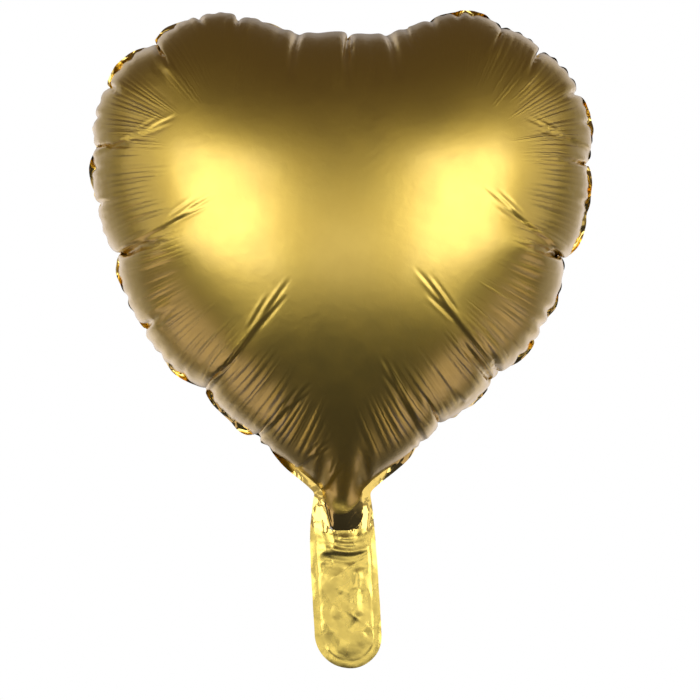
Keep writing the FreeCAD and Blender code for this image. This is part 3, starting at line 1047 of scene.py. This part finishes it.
def relax(x, faces):
    """Rounds the film's sharp ridge above the neck, where a coarse mesh folds too tightly."""
    rim = np.zeros(len(x), bool)
    rim[:NB] = True
    e = np.concatenate([faces[:, [0, 1]], faces[:, [1, 2]], faces[:, [2, 0]]])
    i, j = np.concatenate([e[:, 0], e[:, 1]]), np.concatenate([e[:, 1], e[:, 0]])
    n = np.maximum(np.bincount(i, minlength=len(x)), 1)
    px, pz = x[:, 0] * 1e3, x[:, 2] * 1e3
    w = np.exp(-((px / 10.0) ** 2)) * ramp01(20, 34, pz) * ramp01(125, 85, pz)
    w[rim | (np.bincount(i, minlength=len(x)) == 0)] = 0
    x = x.copy()
    for _ in range(26):
        avg = np.stack([np.bincount(i, x[j, k], len(x)) / n for k in range(3)], 1)
        x += 0.5 * w[:, None] * (avg - x)
    return x


X = relax(relax(X, m["front"]), m["rear"])
front, cut_front, size_front = film("front_film", m["front"], mat_satin, 40)
rear, cut_rear, size_rear = film("rear_film", m["rear"], mat_satin, 60, 0.8)
cen = m["flat"][m["outer"]].mean(1)[:, 1]
margin_faces = m["outer"][cen > ZB - 1.5]
margin, cut_margin, size_margin = film("seam_margin", margin_faces, mat_gloss)

# ---- tail: two sheets on the simulated one, parted by the channel between the side seals
tail_src = np.unique(m["outer"][cen < ZB + 9])
TS, TX = m["flat"][tail_src], X[tail_src]


def on_tail(uv, sig):
    """Smooth point and unit normal of the tail for flat points, from the simulated one."""
    p = np.zeros((len(uv), 3))
    nrm = np.zeros((len(uv), 3))
    for k, (a, b) in enumerate(uv):
        d = TS - (a, b)
        w = np.exp(-0.5 * (d * d).sum(1) / sig**2) + 1e-12
        A = np.column_stack([np.ones(len(d)), d])
        M = A.T @ (A * w[:, None])
        c = np.linalg.solve(M + np.eye(3) * 1e-9, A.T @ (TX * w[:, None]))
        p[k] = c[0]
        t = np.cross(c[1], c[2])
        nrm[k] = t / max(np.linalg.norm(t), 1e-12)
    return p, nrm


def tail_pattern(step, hole):
    top, zc = ZB + 0.5, ZB - TAIL_LEN + TAIL_HALF
    ring = [(TAIL_HALF, z) for z in np.arange(top, zc + 0.5 * step, -step)]
    k = int(math.pi * TAIL_HALF / step)
    ring += [(TAIL_HALF * math.cos(a), zc - TAIL_HALF * math.sin(a)) for a in np.linspace(0, math.pi, k)]
    ring += [(-TAIL_HALF, z) for z in np.arange(top, zc + 0.5 * step, -step)[::-1]]
    ring += [(x, top) for x in np.arange(-TAIL_HALF + step, TAIL_HALF - step / 2, step)]
    ring = np.array(ring)
    loops = [ring]
    if hole:
        a = np.linspace(0, 2 * math.pi, 40, endpoint=False)
        loops.append(np.column_stack([hole[2] * np.cos(a) + hole[0], hole[2] * np.sin(a) + hole[1]]))
    rng = np.random.default_rng(3)
    p = lattice(ring.min(0), ring.max(0), step, rng)
    p = p[inside(ring, p)]
    for q in loops:
        keep = np.ones(len(p), bool)
        for c in q:
            keep &= ((p - c) ** 2).sum(1) > (0.6 * step) ** 2
        p = p[keep]
    if hole:
        p = p[~inside(loops[1], p)]
    edges, off = [], 0
    for q in loops:
        edges += [(off + i, off + (i + 1) % len(q)) for i in range(len(q))]
        off += len(q)
    v, f = triangulate(np.concatenate(loops + [p]), edges)
    cc = v[f].mean(1)
    ok = inside(ring, cc)
    if hole:
        ok &= ~inside(loops[1], cc)
    return v, turned_up(v, f[ok])


def fold_waves(u, v, seed, waves, lo, hi):
    """Folded planes in random directions, 0 to 1 each."""
    rng = np.random.default_rng(seed)
    out = np.zeros(len(u))
    for _ in range(waves):
        a = rng.uniform(0, math.pi)
        wl = rng.uniform(lo, hi)
        bend = rng.uniform(-0.5, 0.5) * np.sin((u * -math.sin(a) + v * math.cos(a)) / wl + rng.uniform(0, 6))
        s = (u * math.cos(a) + v * math.sin(a)) / wl + bend + rng.uniform(0, 1)
        out += np.abs(s % 1 - 0.5) * 2 - 0.5
    return out / math.sqrt(waves)


def smoothstep(a, b, x):
    t = np.clip((x - a) / (b - a), 0, 1)
    return t * t * (3 - 2 * t)


def tail_sheet(name, side, hole):
    step = 1.0
    uv, f = tail_pattern(step, hole)
    p, nrm = on_tail(uv, 3.2)
    u, v = uv[:, 0], uv[:, 1] - ZB          # v runs from 0 at the cross seal down to -TAIL_LEN
    zc = -TAIL_LEN + TAIL_HALF
    r = np.where(v > zc, np.abs(u), np.hypot(u, v - zc))
    seal = TAIL_HALF - 5.5
    chan = smoothstep(seal + 0.6, seal - 1.6, r) * smoothstep(-0.5, -6.0, v)
    dome = np.clip(1 - (r / seal) ** 2, 0, 1)
    puff = chan * (0.16 + 0.9 * dome)
    # shared by both plies
    both = 0.38 * fold_waves(u, v, 21, 5, 18, 36) * smoothstep(2, -10, v)
    both -= 0.55 * (np.clip(r - seal, 0, None) / 5.5) ** 2 * smoothstep(-3, -12, v)
    both += 0.12 * smoothstep(seal + 1.5, seal - 2, r) * fold_waves(u, v, 4, 5, 9, 16)
    # front and rear wrinkle on their own inside the channel
    seed = 7 if side < 0 else 8
    own = 0.3 * fold_waves(u, v, seed, 5, 12, 24)
    own += 0.05 * fold_waves(u, v, seed + 30, 6, 5, 9)
    ridge = 0.75 * np.exp(-0.5 * ((u - 9 - 0.14 * (v + 40)) / 2.9) ** 2) * smoothstep(-24, -34, v) * smoothstep(-72, -56, v)
    own = own + (ridge if side < 0 else 0.5 * ridge)
    # one deep fold across, below the seal, and one that runs down from it
    across = v + 17.5 - 0.05 * u + 1.0 * np.sin(u / 5.5 + seed)
    own += 0.85 * np.tanh(across / 1.5) * np.exp(-np.abs(across) / 5.0) * smoothstep(seal, seal - 8, np.abs(u))
    slant = (v + 28) * 0.84 - (u - 2) * 0.54
    own += 0.6 * np.exp(-np.abs(slant) / 2.2) * smoothstep(-14, -4, u) * smoothstep(19, 12, u) * smoothstep(-44, -34, v)
    slant = (v + 62) * 0.8 + (u - 4) * 0.6
    own += 0.5 * np.exp(-np.abs(slant) / 3.4) * smoothstep(-6, 2, u) * smoothstep(20, 13, u)
    rows = np.sin(2 * math.pi * (v + 1.2 * np.sin(u / 6.0 + seed)) / 5.2) * np.exp(-0.5 * ((v + 13) / 10) ** 2)
    own += 0.2 * rows * np.exp(-0.5 * (u / 13) ** 2)
    own = chan * own
    gap = 0.07 + np.maximum(puff + own, 0.04 * chan)
    gap *= smoothstep(0.5, -3.0, v) * 0.75 + 0.25
    d = side * gap * 1e-3
    # nrm points to -Y, as the pattern's faces do
    q = p + nrm * (both * 1e-3)[:, None] - nrm * d[:, None]
    # the seal's rolled edge lines
    line = np.exp(-0.5 * ((r - seal - 0.4) / 0.45) ** 2) * smoothstep(-2, -6, v)
    q -= nrm * (0.1e-3 * side * line)[:, None] * -1
    flat3 = np.column_stack([uv * 1e-3, np.zeros(len(uv))])
    cut = area_of(flat3, f)
    if side > 0:
        f = f[:, ::-1]
    size = (uv.max(0) - uv.min(0)) * 1e-3
    uvm = uv * 1e-3
    q, uvm, f = subdivide(q, uvm, f)
    return mesh_piece(name, q, uvm, f, mat_tail), cut, size


HOLE_V = ZB - (0.006 + 0.062) * 1e3
tail_front, cut_tf, size_tail = tail_sheet("tail_front", -1, None)
tail_rear, cut_tr, _ = tail_sheet("tail_rear", 1, (0.0, HOLE_V, 4.5))


# ---- clear filling valve, two films from inside the heart to the inlet
def tree_of(ob):
    me = ob.data
    return BVHTree.FromPolygons([v.co for v in me.vertices], [p.vertices for p in me.polygons])


ff, fr = tree_of(front), tree_of(rear)
seam = X[:NB]


def neck_row(z):
    """Middle and half width of the filling channel at a height in the heart."""
    near = seam[np.abs(seam[:, 2] - z) < 0.004]
    right = near[(near[:, 0] > 0)]
    left = near[(near[:, 0] < 0)]
    if not len(right) or not len(left):
        return 0.0, 0.012
    a, b = left[:, 0].max(), right[:, 0].min()
    return 0.5 * (a + b), 0.5 * (b - a)


def valve_film(name, side, low):
    zs = np.arange(0.118, low - 1e-6, -0.0015)
    us = np.linspace(-1, 1, 15)
    pts, uv = [], []
    # part inside the heart: midway between its two films
    up = zs[zs > 0.009]
    mid = np.zeros((len(up), len(us)))
    gap = np.zeros_like(mid)
    half = np.zeros(len(up))
    cx = np.zeros(len(up))
    for r, z in enumerate(up):
        c, w = neck_row(z)
        cx[r] = c if z < 0.05 else 0.0
        half[r] = min(0.013, 0.6 * w)
        hits = []
        for k, u in enumerate(us):
            x = cx[r] + u * half[r]
            a = ff.ray_cast(Vector((x, -0.3, z)), Vector((0, 1, 0)))[0]
            b = fr.ray_cast(Vector((x, 0.3, z)), Vector((0, -1, 0)))[0]
            if a is not None and b is not None and b.y > a.y:
                hits.append((k, 0.5 * (a.y + b.y), b.y - a.y))
        if hits:
            k, y, g = zip(*hits)
            mid[r] = np.interp(range(len(us)), k, y)
            gap[r] = np.interp(range(len(us)), k, g)
    for _ in range(3):
        mid = 0.25 * np.pad(mid, ((1, 1), (0, 0)), mode="edge")[:-2] + 0.5 * mid + 0.25 * np.pad(
            mid, ((1, 1), (0, 0)), mode="edge"
        )[2:]
        cx = 0.25 * np.pad(cx, 1, mode="edge")[:-2] + 0.5 * cx + 0.25 * np.pad(cx, 1, mode="edge")[2:]
    for r, z in enumerate(up):
        for k, u in enumerate(us):
            off = min(0.0002, 0.25 * gap[r, k]) * (1 - 0.7 * abs(u) ** 3)
            pts.append((cx[r] + u * half[r], mid[r, k] + side * off, z))
            uv.append((u * 0.013, z))
    # part in the tail: between its two plies, along the flat pattern
    down = zs[zs <= 0.009]
    q, keep = [], []
    for z in down:
        v = ZB + (z - SEAM_BOTTOM) * 1e3
        w = 10.5 if z < 0.0 else 10.0
        if z < low + 0.003:
            w *= 0.85
        for u in us:
            q.append((u * w, v))
            uv.append((u * 0.011, z))
            keep.append(abs(u))
    p, nrm = on_tail(np.array(q), 3.2)
    off = np.where(np.array(q)[:, 1] > ZB - 4, 0.000004, 0.00005) * (1 - 0.7 * np.array(keep) ** 3)
    p = p - nrm * (side * off)[:, None]
    pts = np.concatenate([np.array(pts), p])
    nx = len(us)
    f = []
    for r in range(len(zs) - 1):
        for c in range(nx - 1):
            a, b, d, e = r * nx + c, r * nx + c + 1, (r + 1) * nx + c, (r + 1) * nx + c + 1
            f += [(a, d, b), (b, d, e)]
    uv, f = np.array(uv), np.array(f)
    return mesh_piece(name, pts, uv, f, mat_clear), (0.026, float(zs[0] - zs[-1])), area_of(pts, f)


INLET_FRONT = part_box("inlet_front_film")[0][2]
INLET_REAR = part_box("inlet_rear_film")[0][2]
valve_front, flat_vf, area_vf = valve_film("valve_front", -1, INLET_FRONT)
valve_rear, flat_vr, area_vr = valve_film("valve_rear", 1, INLET_REAR)

# ---------------------------------------------------------------------------
# The heart's films ride on the heart body, and each piece hides the model parts it stands in for
# ---------------------------------------------------------------------------
for piece, node, slot in (
    (front, "front_panel", "satin_gold_film"),
    (rear, "rear_panel", "satin_gold_film"),
    (margin, "seam_band", "gloss_gold_film"),
):
    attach(piece, "heart")
    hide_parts(node)
for piece, nodes, slot in (
    (tail_front, ["tail_front_film"], "gloss_gold_film"),
    (tail_rear, ["tail_rear_film"], "gloss_gold_film"),
    (valve_front, ["valve_front_film", "inlet_front_film"], "clear_valve_film"),
    (valve_rear, ["valve_rear_film", "inlet_rear_film"], "clear_valve_film"),
):
    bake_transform(piece)
    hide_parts(*nodes)


# ---------------------------------------------------------------------------
# Studio
# ---------------------------------------------------------------------------
scene = bpy.context.scene
scene.view_settings.view_transform = "Standard"
scene.view_settings.look = "None"
world = bpy.data.worlds.new("studio")
scene.world = world
world.use_nodes = True
wt = world.node_tree
bg = wt.nodes["Background"]
ramp = wt.nodes.new("ShaderNodeValToRGB")
ramp.color_ramp.interpolation = "EASE"
for k, (z, col) in enumerate(SKY):
    e = ramp.color_ramp.elements[k] if k < 2 else ramp.color_ramp.elements.new(z)
    e.position = z
    e.color = col + (1,)
split = wt.nodes.new("ShaderNodeSeparateXYZ")
wt.links.new(wt.nodes.new("ShaderNodeTexCoord").outputs["Generated"], split.inputs[0])
half = wt.nodes.new("ShaderNodeMath")
half.operation = "MULTIPLY_ADD"
half.inputs[1].default_value = 0.5
half.inputs[2].default_value = 0.5
wt.links.new(split.outputs[2], half.inputs[0])
wt.links.new(half.outputs[0], ramp.inputs[0])
wt.links.new(ramp.outputs[0], bg.inputs[0])
bg.inputs[1].default_value = WORLD


def lamp(name, at, aim, size, power, color=(1, 1, 1), spread=180):
    l = bpy.data.lights.new(name, "AREA")
    l.shape = "RECTANGLE"
    l.size, l.size_y = size
    l.energy = power
    l.color = color
    l.spread = math.radians(spread)
    o = bpy.data.objects.new(name, l)
    scene.collection.objects.link(o)
    o.location = at
    o.rotation_mode = "QUATERNION"
    o.rotation_quaternion = (Vector(aim) - Vector(at)).to_track_quat("-Z", "Y")
    o.visible_camera = False
    return o


def around(az, el, dist):
    a, e = math.radians(az), math.radians(el)
    return Vector((math.sin(a) * math.cos(e), -math.cos(a) * math.cos(e), math.sin(e))) * dist


MID = Vector((0, 0, 0.2))
for name, az, el, dist, size, power, color in LAMPS:
    lamp(name, MID + around(az, el, dist), MID, size, power, color)

# a pale floor far below and a white surround, both left out of the film's reflections
floor_me = bpy.data.meshes.new("floor")
s = 9.0
floor_me.from_pydata([(-s, -s, -1.7), (s, -s, -1.7), (s, s, -1.7), (-s, s, -1.7)], [], [(0, 1, 2, 3)])
floor = bpy.data.objects.new("floor", floor_me)
scene.collection.objects.link(floor)
fn = Nodes("pale_floor")
away = fn.new("VectorMath", _operation="LENGTH", i0=fn.new("TexCoord").outputs["Object"]).outputs["Value"]
# painted shade: the floor glows instead of being lit, dimmer towards its middle under the balloon and rising to white
# at its far edge
pale = fn.new("Emission", Color=rgb(1, 1, 0.995), Strength=fn.span(away, 2.2, 8.5, 0.72, 1.0))
fn.t.links.new(pale.outputs[0], fn.out.inputs[0])
floor_me.materials.append(fn.mat)
floor.visible_glossy = False
floor.visible_diffuse = False
bpy.ops.mesh.primitive_uv_sphere_add(segments=48, ring_count=24, radius=9.5, location=(0, 0, 0))
sky = bpy.context.active_object
sky.name = "surround"
sky.data.materials.append(plain("white_surround", rgb(1, 1, 1), 0.5, 1.0))
sky.visible_glossy = False
sky.visible_diffuse = False
# white card behind the balloon: the rim mirrors it
card_me = bpy.data.meshes.new("card")
cw, ch, cy = CARD
card_me.from_pydata([(-cw, cy, -ch + 0.2), (cw, cy, -ch + 0.2), (cw, cy, ch + 0.2), (-cw, cy, ch + 0.2)], [], [(0, 1, 2, 3)])
card = bpy.data.objects.new("card", card_me)
scene.collection.objects.link(card)
cn = Nodes("white_card")
cx = cn.math("ABSOLUTE", cn.new("SeparateXYZ", Vector=cn.new("TexCoord").outputs["Object"]).outputs[0])
lobe = cn.math("MULTIPLY", cn.span(cx, 0.02, 0.5, 0.5, 1.0), cn.span(cx, 0.75, 1.7, 1.0, 0.45))
glow = cn.new("Emission", Color=rgb(1, 0.94, 0.98), Strength=cn.math("MULTIPLY", lobe, CARD_GLOW))
cn.t.links.new(glow.outputs[0], cn.out.inputs[0])
card_me.materials.append(cn.mat)
card.visible_camera = False
card.visible_diffuse = False

camera = bpy.data.cameras.new("camera")
cam = bpy.data.objects.new("camera", camera)
scene.collection.objects.link(cam)
target = Vector((0.006, 0, 0.1415))
dist = 2.6
cam.location = target + around(-1.5, 0.0, dist)
cam.rotation_mode = "QUATERNION"
cam.rotation_quaternion = (target - cam.location).to_track_quat("-Z", "Y")
camera.sensor_width = 36
camera.lens = 36 * dist / 0.525
camera.clip_end = 50
scene.camera = cam
